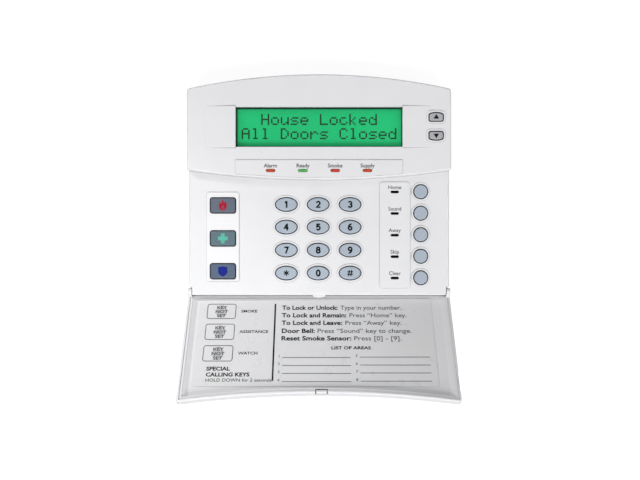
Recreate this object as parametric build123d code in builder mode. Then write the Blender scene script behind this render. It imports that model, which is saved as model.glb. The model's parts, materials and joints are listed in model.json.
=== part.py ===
"""Wall-mounted alarm keypad with a character display and a fold-down door.

Millimetres. X runs to the right, +Y into the wall, +Z up. The origin lies on the wall surface behind
the middle of the case. Every depth is a distance in front of the wall. The door is modelled open,
resting on its stop.
"""
from build123d import *
from math import cos, radians, sin
import os

os.makedirs("parts", exist_ok=True)

# ---- case ----------------------------------------------------------------------------------------
HALF_WIDTH = 81.2  # hood and door, half the overall width
LOWER_HALF_WIDTH = 80.6  # keypad half of the case, tucked in a little under the hood
TOP_MID_Z = 68.0  # crown of the curved top
TOP_SIDE_Z = 59.1  # where the curved top meets the sides
BOTTOM_Z = -68.0
HOOD_LOW_MID_Z = 3.4  # middle of the hood's curved lower edge
HOOD_LOW_SIDE_Z = 9.2
HOOD_DEPTH = 25.4
FACE_DEPTH = 20.8  # keypad face
CASE_BACK = 0.4  # the case stops just short of the wall
WALL = 2.2
EDGE_ROUND = 1.0
CORNER_ROUND = 2.0
LOWER_CORNER_ROUND = 1.5
RAISED = 0.6  # height of the raised panels
COLLAR = 0.45  # height of the rings round the keys

# ---- display -------------------------------------------------------------------------------------
DISPLAY_Z = 35.65
DISPLAY_SIZE = (102.4, 24.5)  # opening in the hood
RAMP_OUTER_X = 69.4
RAMP_RISE = 0.9
BOARD_FRONT = 14.2  # front face of the main board
BOARD_THICK = 1.6

# ---- keys ----------------------------------------------------------------------------------------
KEY_TRAVEL = 1.2
KEY_CLEAR = 0.6  # gap between a key and its opening
FLANGE_MARGIN = 1.4  # how far a key's retaining flange reaches past the key
FLANGE_THICK = 1.2
FLANGE_GAP = 0.3
KEY_FOOT = BOARD_FRONT + 0.1 + KEY_TRAVEL  # underside of a key's contact foot
KEY_ROUND = 0.55
FOOT_RADIUS = 2.4
NUMBER_SIZE = (13.0, 8.0)
NUMBER_X = (-20.2, -0.5, 19.2)
NUMBER_Z = (-11.8, -25.8, -40.0, -54.2)
NUMBER_TOP = FACE_DEPTH + 1.2
ROUND_RADIUS = 4.1
ROUND_X = 62.9
ROUND_Z = (-3.9, -17.2, -30.5, -43.8, -57.1)
EMERGENCY_SIZE = (15.2, 9.0)
EMERGENCY_CORNER = 1.2
EMERGENCY_X = -59.4
EMERGENCY_Z = (-12.4, -32.8, -53.1)
EMERGENCY_TOP = FACE_DEPTH + 1.5
SCROLL_SIZE = (8.3, 4.9)
SCROLL_DOME = 1.0  # rise of the domed side
SCROLL_CORNER = 1.2
SCROLL_X = 71.8
SCROLL_Z = (41.7, 30.1)
SCROLL_TOP = HOOD_DEPTH + 1.0
RING_MARGIN = 1.6  # how far the rings reach past the keys

# ---- lights --------------------------------------------------------------------------------------
STATUS_SIZE = (5.6, 1.7)
STATUS_X = (-29.7, -9.9, 9.9, 29.7)
STATUS_Z = 8.8
FUNCTION_LIGHT_SIZE = (4.8, 1.3)
FUNCTION_LIGHT_X = 46.8
FUNCTION_LIGHT_Z = (-4.1, -17.4, -30.8, -44.1, -57.3)
LIGHT_CLEAR = 0.15

# ---- door ----------------------------------------------------------------------------------------
HINGE_DEPTH = 19.0
HINGE_Z = -66.0
OPEN_ANGLE = 141.0
DOOR_GAP = 0.4  # between the closed door and the hood's lower edge
DOOR_OUTER = HOOD_DEPTH - HINGE_DEPTH  # outer face, measured out from the hinge axis
DOOR_INNER = DOOR_OUTER - 1.8
DOOR_RIM = 2.2
DOOR_HEEL = -0.8  # hinge-side edge, measured up from the hinge axis on the closed door
DOOR_SIDE_LENGTH = HOOD_LOW_SIDE_Z - DOOR_GAP - HINGE_Z
DOOR_MID_LENGTH = HOOD_LOW_MID_Z - DOOR_GAP - HINGE_Z
EAR_INNER_X = 78.9  # the ears are the ends of the door's side walls
EAR_RADIUS = 2.2
PIN_RADIUS = 1.0
PIN_CLEAR = 0.05
PIN_END_X = 75.6

# ---- fixings -------------------------------------------------------------------------------------
PLATE_THICK = 2.4
PLATE_CLEAR = 0.35
PLATE_RIM = (1.6, 2.6)  # width and height of the stiffening rim
HOLE_RING = (2.2, 0.8)  # width and height of the rings round the wall screw holes
GANG_SPACING = 83.3
CORNER_SPACING = (124.0, 92.0)
WALL_HOLE_RADIUS = 2.25
CABLE_OPENING = (32.0, 22.0)
CABLE_OPENING_Z = -19.0
LOWER_SCREWS = [(-39.0, -8.0), (-39.0, -58.5), (35.0, -8.0), (35.0, -58.5)]
UPPER_SCREWS = [(-70.0, 14.0), (70.0, 14.0), (-70.0, 53.0), (70.0, 53.0)]
BOSS_RADIUS = 3.0
BOSS_BORE = 1.3
BOSS_BORE_DEPTH = 4.0
SCREW_HEAD = (2.6, 1.6)  # radius and height
SCREW_LENGTH = 3.4  # below the board
SCREW_RECESS = (3.2, 0.7, 0.9)  # length, width and depth of the cross in the head


def front(depth):
    """A plane facing the viewer, the given distance in front of the wall."""
    return Plane.XZ.offset(depth)


def door_plane(out):
    """A plane parallel to the open door, the given distance out from the hinge axis."""
    angle = radians(OPEN_ANGLE)
    hinge = Plane(
        origin=(0, -HINGE_DEPTH, HINGE_Z),
        x_dir=(1, 0, 0),
        z_dir=(0, -cos(angle), -sin(angle)),
    )
    return hinge.offset(out)


def door_section(x):
    """A plane across the open door: local x runs along the door, local y outwards."""
    angle = radians(OPEN_ANGLE)
    return Plane(
        origin=(x, -HINGE_DEPTH, HINGE_Z),
        x_dir=(0, -sin(angle), cos(angle)),
        z_dir=(1, 0, 0),
    )


def hood_shape(inset):
    """Outline of the hood, moved inwards by inset."""
    x = HALF_WIDTH - inset
    top = TOP_SIDE_Z - inset
    low = HOOD_LOW_SIDE_Z + inset
    with BuildSketch() as shape:
        with BuildLine():
            ThreePointArc((-x, top), (0, TOP_MID_Z - inset), (x, top))
            Line((x, top), (x, low))
            ThreePointArc((x, low), (0, HOOD_LOW_MID_Z + inset), (-x, low))
            Line((-x, low), (-x, top))
        make_face()
    return shape.sketch


def lower_shape(inset, top):
    """Outline of the keypad half, from its straight bottom up to the given height."""
    x = LOWER_HALF_WIDTH - inset
    low = BOTTOM_Z + inset
    with BuildSketch() as shape:
        with BuildLine():
            Polyline((-x, top), (-x, low), (x, low), (x, top), close=True)
        make_face()
    return shape.sketch


def door_shape(side, end, heel):
    """Outline of the door in its own plane, moved inwards by side and end, down to the given heel."""
    x = HALF_WIDTH - side
    corner = DOOR_SIDE_LENGTH - end
    with BuildSketch() as shape:
        with BuildLine():
            ThreePointArc((-x, corner), (0, DOOR_MID_LENGTH - end), (x, corner))
            Line((x, corner), (x, heel))
            Line((x, heel), (-x, heel))
            Line((-x, heel), (-x, corner))
        make_face()
    return shape.sketch


def draw_number(margin):
    """Oval number key, grown by margin."""
    Ellipse(NUMBER_SIZE[0] / 2 + margin, NUMBER_SIZE[1] / 2 + margin)


def draw_round(margin):
    """Round function key, grown by margin."""
    Circle(ROUND_RADIUS + margin)


def draw_emergency(margin):
    """Emergency key with rounded corners, grown by margin."""
    width = EMERGENCY_SIZE[0] + 2 * margin
    height = EMERGENCY_SIZE[1] + 2 * margin
    RectangleRounded(width, height, EMERGENCY_CORNER + margin)


def scroll_shape(margin, sense):
    """Scroll key: flat on one side and domed on the other. sense is 1 with the dome on top."""
    half = SCROLL_SIZE[0] / 2 + margin
    flat = -sense * (SCROLL_SIZE[1] / 2 + margin)
    dome = sense * (SCROLL_SIZE[1] / 2 + margin)
    shoulder = dome - sense * SCROLL_DOME
    with BuildSketch() as shape:
        with BuildLine():
            Line((-half, flat), (half, flat))
            Line((half, flat), (half, shoulder))
            ThreePointArc((half, shoulder), (0, dome), (-half, shoulder))
            Line((-half, shoulder), (-half, flat))
        make_face()
        fillet(shape.vertices(), SCROLL_CORNER + margin / 2)
    return shape.sketch


SCROLL_SHAPES = {}
for sense in (1, -1):
    for margin in (0, KEY_CLEAR, FLANGE_MARGIN, RING_MARGIN):
        SCROLL_SHAPES[(sense, margin)] = scroll_shape(margin, sense)


def draw_scroll_up(margin):
    """Scroll key with its dome on top, grown by margin."""
    add(SCROLL_SHAPES[(1, margin)])


def draw_scroll_down(margin):
    """Scroll key with its dome below, grown by margin."""
    add(SCROLL_SHAPES[(-1, margin)])


# name, outline, centre, top of the key, inner face of the wall it passes through
KEYS = []
NUMBER_NAMES = ["1", "2", "3", "4", "5", "6", "7", "8", "9", "star", "0", "hash"]
for index, key_name in enumerate(NUMBER_NAMES):
    centre = (NUMBER_X[index % 3], NUMBER_Z[index // 3])
    KEYS.append(("key_" + key_name, draw_number, centre, NUMBER_TOP, FACE_DEPTH - WALL))
for key_name, z in zip(["stay", "chime", "exit", "bypass", "cancel"], ROUND_Z):
    KEYS.append(("key_" + key_name, draw_round, (ROUND_X, z), NUMBER_TOP, FACE_DEPTH - WALL))
for key_name, z in zip(["fire", "medical", "guard"], EMERGENCY_Z):
    KEYS.append(("key_" + key_name, draw_emergency, (EMERGENCY_X, z), EMERGENCY_TOP, FACE_DEPTH - WALL))
for key_name, outline, z in zip(["up", "down"], [draw_scroll_up, draw_scroll_down], SCROLL_Z):
    KEYS.append(("key_" + key_name, outline, (SCROLL_X, z), SCROLL_TOP, HOOD_DEPTH - WALL))

STATUS_SPOTS = [(x, STATUS_Z) for x in STATUS_X]
FUNCTION_SPOTS = [(FUNCTION_LIGHT_X, z) for z in FUNCTION_LIGHT_Z]
HOOD_FLOOR = HOOD_DEPTH - WALL
FACE_FLOOR = FACE_DEPTH - WALL
STRIP_TOP_Z = 15.3
STRIP_HALF_WIDTH = 51.3
LABEL_PANEL = (37.5, 56.3, -63.5, 2.0)  # left, right, bottom, top
LABEL_PANEL_CORNER = 2.0
EMERGENCY_TRAY = (-69.4, -49.5, -59.2, -4.3)
TRAY_CORNER = 1.2
RECESS_X = 78.6  # floor of the recesses in the case's sides that the door's ears turn in
RECESS_BOSS_X = (73.4, 79.6)
RECESS_TOP_Z = HINGE_Z + 3.0
RECESS_BACK = 14.0

# ---- front cover ---------------------------------------------------------------------------------
with BuildPart() as front_cover:
    with BuildSketch(front(CASE_BACK)):
        add(lower_shape(0, HOOD_LOW_SIDE_Z + 6))
    extrude(amount=FACE_DEPTH - CASE_BACK)
    lower_corners = front_cover.edges().filter_by(Axis.Y).group_by(Axis.Z)[0]
    fillet(lower_corners, LOWER_CORNER_ROUND)
    face_rim = front_cover.faces().sort_by(Axis.Y)[0].edges()
    fillet(face_rim, EDGE_ROUND)
    with BuildSketch(front(CASE_BACK)) as hood_sketch:
        add(hood_shape(0))
        fillet(hood_sketch.vertices().group_by(Axis.Y)[-1], CORNER_ROUND)
        fillet(hood_sketch.vertices().group_by(Axis.Y)[0], LOWER_CORNER_ROUND)
    extrude(amount=HOOD_DEPTH - CASE_BACK)
    hood_rim = front_cover.faces().sort_by(Axis.Y)[0].edges()
    fillet(hood_rim, EDGE_ROUND)
    # hollow inside
    with BuildSketch(front(-1)):
        add(hood_shape(WALL))
    extrude(amount=HOOD_FLOOR + 1, mode=Mode.SUBTRACT)
    with BuildSketch(front(-1)):
        add(lower_shape(WALL, HOOD_LOW_SIDE_Z + 4))
    extrude(amount=FACE_FLOOR + 1, mode=Mode.SUBTRACT)
    # ramps that lead up to the display on both sides
    with BuildSketch(Plane.XY.offset(DISPLAY_Z - DISPLAY_SIZE[1] / 2 - 0.5)):
        for side in (-1, 1):
            with BuildLine():
                Polyline(
                    (side * RAMP_OUTER_X, -HOOD_DEPTH + 0.5),
                    (side * RAMP_OUTER_X, -HOOD_DEPTH),
                    (side * DISPLAY_SIZE[0] / 2, -HOOD_DEPTH - RAMP_RISE),
                    (side * DISPLAY_SIZE[0] / 2, -HOOD_DEPTH + 0.5),
                    close=True,
                )
            make_face()
    extrude(amount=DISPLAY_SIZE[1] + 1.0)
    # status strip, bounded below by the hood's curved edge
    with BuildSketch(front(HOOD_DEPTH)):
        add(hood_shape(EDGE_ROUND + 0.2))
        with Locations((0, STRIP_TOP_Z - 10)):
            Rectangle(2 * STRIP_HALF_WIDTH, 20, mode=Mode.INTERSECT)
    extrude(amount=RAISED)
    # label panel and emergency key tray
    with BuildSketch(front(FACE_DEPTH)):
        with Locations(((LABEL_PANEL[0] + LABEL_PANEL[1]) / 2, (LABEL_PANEL[2] + LABEL_PANEL[3]) / 2)):
            RectangleRounded(
                LABEL_PANEL[1] - LABEL_PANEL[0], LABEL_PANEL[3] - LABEL_PANEL[2], LABEL_PANEL_CORNER
            )
        with Locations(
            ((EMERGENCY_TRAY[0] + EMERGENCY_TRAY[1]) / 2, (EMERGENCY_TRAY[2] + EMERGENCY_TRAY[3]) / 2)
        ):
            RectangleRounded(
                EMERGENCY_TRAY[1] - EMERGENCY_TRAY[0], EMERGENCY_TRAY[3] - EMERGENCY_TRAY[2], TRAY_CORNER
            )
    extrude(amount=RAISED)
    # rings round the keys
    for key_name, outline, centre, top, floor in KEYS:
        if outline is draw_emergency:
            continue
        with BuildSketch(front(floor + WALL)):
            with Locations(centre):
                outline(RING_MARGIN)
        extrude(amount=COLLAR)
    # screw bosses
    with BuildSketch(front(BOARD_FRONT)):
        with Locations(*LOWER_SCREWS):
            Circle(BOSS_RADIUS)
    extrude(amount=FACE_FLOOR - BOARD_FRONT + 0.2)
    with BuildSketch(front(BOARD_FRONT)):
        with Locations(*UPPER_SCREWS):
            Circle(BOSS_RADIUS)
    extrude(amount=HOOD_FLOOR - BOARD_FRONT + 0.2)
    with BuildSketch(front(BOARD_FRONT)):
        with Locations(*LOWER_SCREWS, *UPPER_SCREWS):
            Circle(BOSS_BORE)
    extrude(amount=BOSS_BORE_DEPTH, mode=Mode.SUBTRACT)
    # hinge recesses in both sides, each with a block of material behind it for the pin's bore
    for side in (-1, 1):
        boss_mid = side * (RECESS_BOSS_X[0] + RECESS_BOSS_X[1]) / 2
        with BuildSketch(front(RECESS_BACK - 2.0)):
            with Locations((boss_mid, (BOTTOM_Z + 1 + RECESS_TOP_Z + 1.8) / 2)):
                Rectangle(RECESS_BOSS_X[1] - RECESS_BOSS_X[0], RECESS_TOP_Z + 1.8 - BOTTOM_Z - 1)
        extrude(amount=FACE_FLOOR + 0.2 - RECESS_BACK + 2.0)
    for side in (-1, 1):
        with BuildSketch(front(RECESS_BACK)):
            with Locations((side * (RECESS_X + 2), (BOTTOM_Z - 1 + RECESS_TOP_Z) / 2)):
                Rectangle(4.0, RECESS_TOP_Z - BOTTOM_Z + 1)
        extrude(amount=FACE_DEPTH, mode=Mode.SUBTRACT)
        with BuildSketch(Plane.YZ.offset(side * (PIN_END_X - 0.3))):
            with Locations((-HINGE_DEPTH, HINGE_Z)):
                Circle(PIN_RADIUS + PIN_CLEAR)
        extrude(amount=side * (RECESS_X + 0.5 - PIN_END_X + 0.3), mode=Mode.SUBTRACT)
    # openings for the keys
    for key_name, outline, centre, top, floor in KEYS:
        with BuildSketch(front(floor - 1)):
            with Locations(centre):
                outline(KEY_CLEAR)
        extrude(amount=WALL + 4, mode=Mode.SUBTRACT)
    # display opening
    with BuildSketch(front(HOOD_FLOOR - 1)):
        with Locations((0, DISPLAY_Z)):
            Rectangle(*DISPLAY_SIZE)
    extrude(amount=WALL + 5, mode=Mode.SUBTRACT)
    # light openings
    with BuildSketch(front(HOOD_FLOOR - 1)):
        with Locations(*STATUS_SPOTS):
            SlotOverall(STATUS_SIZE[0] + 2 * LIGHT_CLEAR, STATUS_SIZE[1] + 2 * LIGHT_CLEAR)
    extrude(amount=WALL + 3, mode=Mode.SUBTRACT)
    with BuildSketch(front(FACE_FLOOR - 1)):
        with Locations(*FUNCTION_SPOTS):
            SlotOverall(FUNCTION_LIGHT_SIZE[0] + 2 * LIGHT_CLEAR, FUNCTION_LIGHT_SIZE[1] + 2 * LIGHT_CLEAR)
    extrude(amount=WALL + 3, mode=Mode.SUBTRACT)
    # shallow groove in the hood's lower wall for the door's catch
    with BuildSketch(front(FACE_DEPTH + 1.0)):
        with Locations((1.5, HOOD_LOW_MID_Z)):
            Rectangle(7.4, 1.0)
    extrude(amount=1.8, mode=Mode.SUBTRACT)
    # slot in the bottom wall for releasing the cover from its back plate
    with BuildSketch(front(1.5)):
        with Locations((0, BOTTOM_Z + 1)):
            Rectangle(9.0, 4.0)
    extrude(amount=4.0, mode=Mode.SUBTRACT)
front_cover.part.label = "front_cover"

# ---- back plate ----------------------------------------------------------------------------------
PLATE_INSET = WALL + PLATE_CLEAR
with BuildPart() as back_plate:
    with BuildSketch(front(0)):
        add(hood_shape(PLATE_INSET))
        add(lower_shape(PLATE_INSET, HOOD_LOW_SIDE_Z + 4))
    extrude(amount=PLATE_THICK)
    # stiffening rim
    with BuildSketch(front(PLATE_THICK)):
        add(hood_shape(PLATE_INSET))
        add(lower_shape(PLATE_INSET, HOOD_LOW_SIDE_Z + 4))
    extrude(amount=PLATE_RIM[1])
    with BuildSketch(front(PLATE_THICK)):
        add(hood_shape(PLATE_INSET + PLATE_RIM[0]))
        add(lower_shape(PLATE_INSET + PLATE_RIM[0], HOOD_LOW_SIDE_Z + 4))
    extrude(amount=PLATE_RIM[1] + 0.1, mode=Mode.SUBTRACT)
    # cable opening
    with BuildSketch(front(-1)):
        with Locations((0, CABLE_OPENING_Z)):
            RectangleRounded(*CABLE_OPENING, 3.0)
    extrude(amount=PLATE_THICK + 2, mode=Mode.SUBTRACT)
    # wall screw holes
    with BuildSketch(front(-1)):
        with GridLocations(1, GANG_SPACING, 1, 2):
            Circle(WALL_HOLE_RADIUS)
        with GridLocations(*CORNER_SPACING, 2, 2):
            Circle(WALL_HOLE_RADIUS)
    extrude(amount=PLATE_THICK + 2, mode=Mode.SUBTRACT)
    # raised rings that stiffen the wall screw holes
    with BuildSketch(front(PLATE_THICK)):
        with GridLocations(1, GANG_SPACING, 1, 2):
            Circle(WALL_HOLE_RADIUS + HOLE_RING[0])
            Circle(WALL_HOLE_RADIUS, mode=Mode.SUBTRACT)
        with GridLocations(*CORNER_SPACING, 2, 2):
            Circle(WALL_HOLE_RADIUS + HOLE_RING[0])
            Circle(WALL_HOLE_RADIUS, mode=Mode.SUBTRACT)
    extrude(amount=HOLE_RING[1])
back_plate.part.label = "back_plate"

# ---- display -------------------------------------------------------------------------------------
DISPLAY_SPOT = (0, DISPLAY_Z)
MODULE_BOARD = (14.8, 16.0)  # depths of the display's own board
BACKLIGHT = (16.0, 18.2)
GLASS = (18.3, 20.5)
FRAME_FRONT = 21.3
WINDOW = (21.7, 23.1)
WINDOW_SIZE = (112.0, 32.0)
GLASS_SIZE = (109.0, 29.4)
FRAME_SIZE = (115.0, 32.6)
FRAME_SHEET = 0.6  # thickness of the stamped frame
MODULE_SIZE = (122.0, 40.0)
HEADER_PINS = 16
HEADER_PITCH = 2.54
HEADER_HOLE_RADIUS = 0.45
HEADER_PIN_RADIUS = 0.35
HEADER_PIN_STUB = 0.9  # how far the pins stand past both boards
HEADER_Z = DISPLAY_Z + 18.2

with BuildPart() as display_window:
    with BuildSketch(front(WINDOW[0])):
        with Locations(DISPLAY_SPOT):
            RectangleRounded(*WINDOW_SIZE, 1.0)
    extrude(amount=WINDOW[1] - WINDOW[0])
display_window.part.label = "display_window"

with BuildPart() as display_glass:
    with BuildSketch(front(GLASS[0])):
        with Locations(DISPLAY_SPOT):
            Rectangle(*GLASS_SIZE)
    extrude(amount=GLASS[1] - GLASS[0])
display_glass.part.label = "display_glass"

with BuildPart() as display_backlight:
    with BuildSketch(front(BACKLIGHT[0])):
        with Locations(DISPLAY_SPOT):
            Rectangle(*GLASS_SIZE)
    extrude(amount=BACKLIGHT[1] - BACKLIGHT[0])
display_backlight.part.label = "display_backlight"

with BuildPart() as display_frame:
    with BuildSketch(front(MODULE_BOARD[1])):
        with Locations(DISPLAY_SPOT):
            Rectangle(*FRAME_SIZE)
    extrude(amount=FRAME_FRONT - MODULE_BOARD[1])
    with BuildSketch(front(MODULE_BOARD[1] - 1)):
        with Locations(DISPLAY_SPOT):
            Rectangle(FRAME_SIZE[0] - 2 * FRAME_SHEET, FRAME_SIZE[1] - 2 * FRAME_SHEET)
    extrude(amount=FRAME_FRONT - FRAME_SHEET - MODULE_BOARD[1] + 1, mode=Mode.SUBTRACT)
    with BuildSketch(front(FRAME_FRONT - 1)):
        with Locations(DISPLAY_SPOT):
            Rectangle(DISPLAY_SIZE[0] + 3.0, DISPLAY_SIZE[1] + 2.2)
    extrude(amount=2, mode=Mode.SUBTRACT)
display_frame.part.label = "display_frame"

with BuildPart() as display_board:
    with BuildSketch(front(MODULE_BOARD[0])):
        with Locations(DISPLAY_SPOT):
            Rectangle(*MODULE_SIZE)
        with Locations((0, HEADER_Z)):
            with GridLocations(HEADER_PITCH, 1, HEADER_PINS, 1):
                Circle(HEADER_HOLE_RADIUS, mode=Mode.SUBTRACT)
        with Locations(DISPLAY_SPOT):
            with GridLocations(MODULE_SIZE[0] - 5, MODULE_SIZE[1] - 5, 2, 2):
                Circle(1.3, mode=Mode.SUBTRACT)
    extrude(amount=MODULE_BOARD[1] - MODULE_BOARD[0])
display_board.part.label = "display_board"

with BuildPart() as display_pins:
    with BuildSketch(front(BOARD_FRONT - BOARD_THICK - HEADER_PIN_STUB)):
        with Locations((0, HEADER_Z)):
            with GridLocations(HEADER_PITCH, 1, HEADER_PINS, 1):
                Circle(HEADER_PIN_RADIUS)
    extrude(amount=MODULE_BOARD[1] - BOARD_FRONT + BOARD_THICK + 2 * HEADER_PIN_STUB)
display_pins.part.label = "display_pins"

# ---- main board ----------------------------------------------------------------------------------
BOARD_BACK = BOARD_FRONT - BOARD_THICK
BOARD_TOP_Z = 56.5
BOARD_LOW_Z = -63.0
BOARD_HALF_WIDTH = 76.0
BOARD_NOTCH = (68.0, -58.5)  # corners cut away behind the hinge blocks
BOARD_HOLE_RADIUS = 1.6
PAD_RADIUS = 2.3
PAD_SPLIT = 0.4  # gap between the two halves of a contact
PAD_THICK = 0.05
EMITTER_SIZE = (3.2, 1.6, 0.7)
ALL_SPOTS = STATUS_SPOTS + FUNCTION_SPOTS

with BuildPart() as main_board:
    with BuildSketch(front(BOARD_BACK)):
        with BuildLine():
            Polyline(
                (-BOARD_HALF_WIDTH, BOARD_TOP_Z),
                (-BOARD_HALF_WIDTH, BOARD_NOTCH[1]),
                (-BOARD_NOTCH[0], BOARD_NOTCH[1]),
                (-BOARD_NOTCH[0], BOARD_LOW_Z),
                (BOARD_NOTCH[0], BOARD_LOW_Z),
                (BOARD_NOTCH[0], BOARD_NOTCH[1]),
                (BOARD_HALF_WIDTH, BOARD_NOTCH[1]),
                (BOARD_HALF_WIDTH, BOARD_TOP_Z),
                close=True,
            )
        make_face()
        with Locations((0, HEADER_Z)):
            with GridLocations(HEADER_PITCH, 1, HEADER_PINS, 1):
                Circle(HEADER_HOLE_RADIUS, mode=Mode.SUBTRACT)
        with Locations(*LOWER_SCREWS, *UPPER_SCREWS):
            Circle(BOARD_HOLE_RADIUS, mode=Mode.SUBTRACT)
    extrude(amount=BOARD_THICK)
main_board.part.label = "main_board"

with BuildPart() as board_screws:
    with BuildSketch(front(BOARD_BACK)):
        with Locations(*LOWER_SCREWS, *UPPER_SCREWS):
            Circle(SCREW_HEAD[0])
    extrude(amount=-SCREW_HEAD[1])
    with BuildSketch(front(BOARD_BACK)):
        with Locations(*LOWER_SCREWS, *UPPER_SCREWS):
            Circle(BOSS_BORE - 0.05)
    extrude(amount=BOARD_THICK + SCREW_LENGTH)
    with BuildSketch(front(BOARD_BACK - SCREW_HEAD[1])):
        with Locations(*LOWER_SCREWS, *UPPER_SCREWS):
            Rectangle(SCREW_RECESS[0], SCREW_RECESS[1])
            Rectangle(SCREW_RECESS[1], SCREW_RECESS[0])
    extrude(amount=SCREW_RECESS[2], mode=Mode.SUBTRACT)
board_screws.part.label = "board_screws"

with BuildPart() as key_contacts:
    for key_name, outline, centre, top, floor in KEYS:
        with BuildSketch(front(BOARD_FRONT)):
            with Locations(centre):
                Circle(PAD_RADIUS)
                Rectangle(PAD_SPLIT, 2 * PAD_RADIUS + 0.4, mode=Mode.SUBTRACT)
        extrude(amount=PAD_THICK)
key_contacts.part.label = "key_contacts"

with BuildPart() as light_emitters:
    with BuildSketch(front(BOARD_FRONT)):
        with Locations(*ALL_SPOTS):
            Rectangle(EMITTER_SIZE[0], EMITTER_SIZE[1])
    extrude(amount=EMITTER_SIZE[2])
light_emitters.part.label = "light_emitters"

# ---- keypad mat ----------------------------------------------------------------------------------
MAT = (BOARD_FRONT + 0.1, BOARD_FRONT + 1.1)
MAT_SIZE = (134.0, 68.0)
MAT_Z = -28.5
MAT_LIGHT_OPENING = (6.0, 3.6)
MAT_HOLE_RADIUS = FOOT_RADIUS + 0.6
SCROLL_MAT_SIZE = (8.6, 26.0)
with BuildPart() as keypad_mat:
    with BuildSketch(front(MAT[0])):
        with Locations((0, MAT_Z)):
            Rectangle(*MAT_SIZE)
        with Locations(*FUNCTION_SPOTS):
            Rectangle(*MAT_LIGHT_OPENING, mode=Mode.SUBTRACT)
        with Locations(*LOWER_SCREWS):
            Circle(BOSS_RADIUS + 0.5, mode=Mode.SUBTRACT)
    extrude(amount=MAT[1] - MAT[0])
    for key_name, outline, centre, top, floor in KEYS:
        with BuildSketch(front(MAT[0] - 1)):
            with Locations(centre):
                Circle(MAT_HOLE_RADIUS)
        extrude(amount=3, mode=Mode.SUBTRACT)
keypad_mat.part.label = "keypad_mat"

with BuildPart() as scroll_mat:
    with BuildSketch(front(MAT[0])):
        with Locations((SCROLL_X - 0.5, (SCROLL_Z[0] + SCROLL_Z[1]) / 2)):
            Rectangle(*SCROLL_MAT_SIZE)
        with Locations((SCROLL_X, SCROLL_Z[0]), (SCROLL_X, SCROLL_Z[1])):
            Circle(MAT_HOLE_RADIUS, mode=Mode.SUBTRACT)
    extrude(amount=MAT[1] - MAT[0])
scroll_mat.part.label = "scroll_mat"

# ---- keys ----------------------------------------------------------------------------------------
key_parts = []
for key_name, outline, centre, top, floor in KEYS:
    with BuildPart() as key:
        flange_front = floor - FLANGE_GAP
        with BuildSketch(front(flange_front - FLANGE_THICK)):
            with Locations(centre):
                outline(0)
        extrude(amount=top - flange_front + FLANGE_THICK)
        fillet(key.faces().sort_by(Axis.Y)[0].edges(), KEY_ROUND)
        with BuildSketch(front(flange_front - FLANGE_THICK)):
            with Locations(centre):
                outline(FLANGE_MARGIN)
        extrude(amount=FLANGE_THICK)
        with BuildSketch(front(KEY_FOOT)):
            with Locations(centre):
                Circle(FOOT_RADIUS)
        extrude(amount=flange_front - FLANGE_THICK + 0.1 - KEY_FOOT)
    key.part.label = key_name
    key_parts.append(key.part)

# ---- light windows -------------------------------------------------------------------------------
LIGHT_BACK = BOARD_FRONT + 0.8
LIGHT_FLANGE = 1.0  # how far a light window's flange reaches past its opening
LIGHT_FLANGE_THICK = 1.2
light_parts = []
for index, spot in enumerate(STATUS_SPOTS):
    with BuildPart() as light:
        with BuildSketch(front(LIGHT_BACK)):
            with Locations(spot):
                SlotOverall(*STATUS_SIZE)
        extrude(amount=HOOD_DEPTH + RAISED + 0.35 - LIGHT_BACK)
        fillet(light.faces().sort_by(Axis.Y)[0].edges(), 0.3)
        with BuildSketch(front(HOOD_FLOOR - 0.1 - LIGHT_FLANGE_THICK)):
            with Locations(spot):
                SlotOverall(STATUS_SIZE[0] + 2 * LIGHT_FLANGE, STATUS_SIZE[1] + 2 * LIGHT_FLANGE)
        extrude(amount=LIGHT_FLANGE_THICK)
    light.part.label = "status_light_" + str(index + 1)
    light_parts.append(light.part)

with BuildPart() as function_lights:
    with BuildSketch(front(LIGHT_BACK)):
        with Locations(*FUNCTION_SPOTS):
            SlotOverall(*FUNCTION_LIGHT_SIZE)
    extrude(amount=FACE_DEPTH + RAISED + 0.2 - LIGHT_BACK)
    with BuildSketch(front(FACE_FLOOR - 0.1 - LIGHT_FLANGE_THICK)):
        with Locations(*FUNCTION_SPOTS):
            SlotOverall(FUNCTION_LIGHT_SIZE[0] + 2 * LIGHT_FLANGE, FUNCTION_LIGHT_SIZE[1] + 2 * LIGHT_FLANGE)
    extrude(amount=LIGHT_FLANGE_THICK)
function_lights.part.label = "function_lights"

# ---- parts on the back of the main board ---------------------------------------------------------
CHIP_SPOT = (-30.0, 22.0)
CHIP_SIZE = (14.0, 1.6)
LEG_PITCH = 0.8
LEGS_A_SIDE = 16
SOUNDER_SPOT = (44.0, 26.0)
SOUNDER_SIZE = (11.0, 6.0)  # radius and height
CAPACITOR_SPOTS = [(10.0, 26.0), (19.0, 26.0)]
CAPACITOR_SIZE = (3.2, 7.0)
REGULATOR_SPOT = (0.0, 24.0)
REGULATOR_SIZE = (6.6, 6.2, 2.3)
SMALL_PART_SIZE = (2.0, 1.25, 0.7)
SMALL_PART_PITCH = (3.4, 3.0)
SMALL_PART_GROUPS = [((-30.0, 38.0), (6, 2)), ((-52.0, 22.0), (2, 6))]

with BuildPart() as controller_chip:
    with BuildSketch(front(BOARD_BACK)):
        with Locations(CHIP_SPOT):
            Rectangle(CHIP_SIZE[0], CHIP_SIZE[0])
    extrude(amount=-CHIP_SIZE[1])
    chamfer(controller_chip.faces().sort_by(Axis.Y)[-1].edges(), 0.25)
controller_chip.part.label = "controller_chip"

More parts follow.
